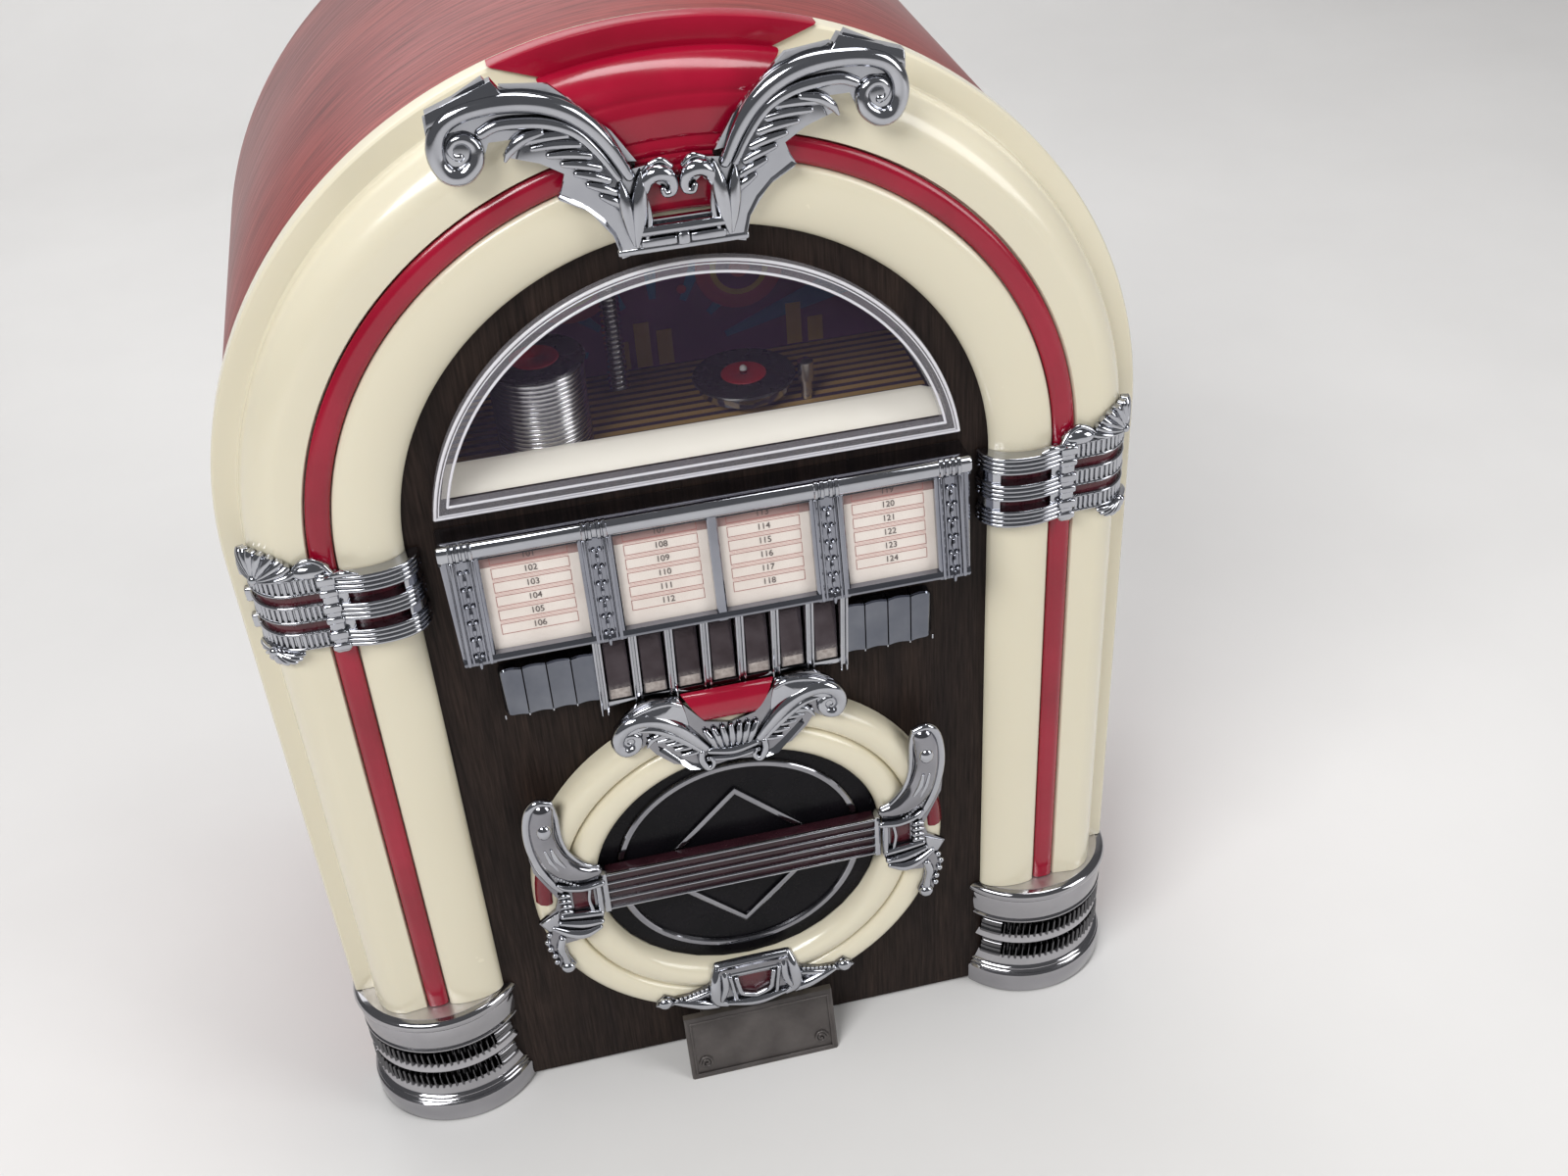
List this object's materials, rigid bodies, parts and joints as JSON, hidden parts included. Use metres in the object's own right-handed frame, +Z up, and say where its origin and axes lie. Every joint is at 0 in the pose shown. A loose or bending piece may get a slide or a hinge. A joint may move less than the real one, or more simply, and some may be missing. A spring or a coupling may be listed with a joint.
{
  "type": "tabletop jukebox radio",
  "caption": "Arched tabletop radio in the form of a jukebox, with a lit record display, title holder, selector keys, round speaker grille and side tuning controls.",
  "frame": {"origin": "middle of the base board's underside, on the surface that it stands on, half way from the front panel's face to the back of the cabinet but for 7.5 mm", "axes": "+X to the object's right as seen from the front, +Y from the front to the back, +Z up"},
  "size_m": [0.2404, 0.1618, 0.3178],
  "materials": {
    "ivory": "glossy moulded ivory plastic",
    "red": "glossy dark red plastic",
    "chrome": "bright chrome plating",
    "mahogany": "satin reddish mahogany veneer",
    "dark_wood": "satin dark brown veneer",
    "black_plastic": "matt black moulded plastic",
    "clear_plastic": "clear acrylic",
    "smoked_plastic": "smoked acrylic sheet",
    "cream_plastic": "satin cream plastic",
    "paper": "printed paper",
    "printed_card": "printed card",
    "record": "black plastic with a red label",
    "pewter": "antique pewter grey casting",
    "steel": "plated steel",
    "circuit_board": "phenolic board with soldered parts",
    "cone_paper": "pressed black paper",
    "ferrite": "dark grey ferrite",
    "bulb_glass": "clear bulb glass with its holder"
  },
  "bodies": {
    "cabinet": {"front_panel": "dark_wood", "arch_frame": "ivory", "red_strip": "red", "red_crown": "red", "top_ornament": "chrome", "column_band_left": "chrome", "column_band_right": "chrome", "foot_left": "chrome", "foot_right": "chrome", "window_rim": "clear_plastic", "window_pane": "smoked_plastic", "display_box": "black_plastic", "display_ledge": "cream_plastic", "display_card": "printed_card", "record_stack": "chrome", "stack_record": "record", "lift_post": "chrome", "tone_arm_post": "chrome", "display_lamp": "bulb_glass", "title_holder": "chrome", "title_card": "paper", "selector_bank": "chrome", "speaker_ring": "ivory", "ring_ornament_top": "chrome", "ring_ornament_left": "chrome", "ring_ornament_right": "chrome", "ring_ornament_bottom": "chrome", "ring_red_bar": "red", "grille_plate": "black_plastic", "grille_trim": "chrome", "cross_bar": "chrome", "plaque": "pewter", "speaker_frame": "steel", "speaker_cone": "cone_paper", "cabinet_shell": "mahogany", "base_board": "black_plastic", "back_panel": "black_plastic", "ferrite_rod": "ferrite", "control_plate": "black_plastic", "dial_scale": "cream_plastic", "volume_control": "steel", "main_board": "circuit_board", "back_screw_1": "steel", "back_screw_2": "steel", "back_screw_3": "steel", "back_screw_4": "steel"},
    "key_1": {"key_1": "chrome"},
    "key_2": {"key_2": "chrome"},
    "key_3": {"key_3": "chrome"},
    "key_4": {"key_4": "chrome"},
    "key_5": {"key_5": "chrome"},
    "key_6": {"key_6": "chrome"},
    "key_7": {"key_7": "chrome"},
    "tuning": {"tuning_knob": "black_plastic"},
    "drum": {"tuning_drum": "cream_plastic"},
    "pointer": {"dial_pointer": "red"},
    "volume": {"volume_knob": "black_plastic"},
    "band": {"band_switch": "chrome"},
    "player": {"turntable": "chrome", "play_record": "record"}
  },
  "joints": [
    {"name": "key_1_press", "type": "slide", "parent": "cabinet", "child": "key_1", "axis": [0, 1, 0], "range_m": [0, 0.002], "stiffness_N_per_m": 200, "springref_m": -0.001},
    {"name": "key_2_press", "type": "slide", "parent": "cabinet", "child": "key_2", "axis": [0, 1, 0], "range_m": [0, 0.002], "stiffness_N_per_m": 200, "springref_m": -0.001},
    {"name": "key_3_press", "type": "slide", "parent": "cabinet", "child": "key_3", "axis": [0, 1, 0], "range_m": [0, 0.002], "stiffness_N_per_m": 200, "springref_m": -0.001},
    {"name": "key_4_press", "type": "slide", "parent": "cabinet", "child": "key_4", "axis": [0, 1, 0], "range_m": [0, 0.002], "stiffness_N_per_m": 200, "springref_m": -0.001},
    {"name": "key_5_press", "type": "slide", "parent": "cabinet", "child": "key_5", "axis": [0, 1, 0], "range_m": [0, 0.002], "stiffness_N_per_m": 200, "springref_m": -0.001},
    {"name": "key_6_press", "type": "slide", "parent": "cabinet", "child": "key_6", "axis": [0, 1, 0], "range_m": [0, 0.002], "stiffness_N_per_m": 200, "springref_m": -0.001},
    {"name": "key_7_press", "type": "slide", "parent": "cabinet", "child": "key_7", "axis": [0, 1, 0], "range_m": [0, 0.002], "stiffness_N_per_m": 200, "springref_m": -0.001},
    {"name": "tuning_turn", "type": "hinge", "parent": "cabinet", "child": "tuning", "pos_m": [0.118, 0.026, 0.17], "axis": [-1, 0, 0], "range_deg": [0, 1018]},
    {"name": "drum_turn", "type": "hinge", "parent": "cabinet", "child": "drum", "pos_m": [0.0915, 0.005, 0.156], "axis": [-1, 0, 0], "range_deg": [0, 180]},
    {"name": "pointer_slide", "type": "slide", "parent": "cabinet", "child": "pointer", "axis": [0, 0, -1], "range_m": [0, 0.064]},
    {"name": "volume_turn", "type": "hinge", "parent": "cabinet", "child": "volume", "pos_m": [0.118, 0.026, 0.128], "axis": [-1, 0, 0], "range_deg": [0, 300]},
    {"name": "band_slide", "type": "slide", "parent": "cabinet", "child": "band", "axis": [0, 0, 1], "range_m": [0, 0.006]},
    {"name": "player_turn", "type": "hinge", "parent": "cabinet", "child": "player", "pos_m": [0.0191, -0.026, 0.208], "axis": [0, 0, -1], "continuous": true}
  ],
  "couplings": [
    {"joint": "drum_turn", "follows": "tuning_turn", "ratio": 0.17671},
    {"joint": "pointer_slide", "follows": "tuning_turn", "m_per_rad": 0.0036}
  ]
}
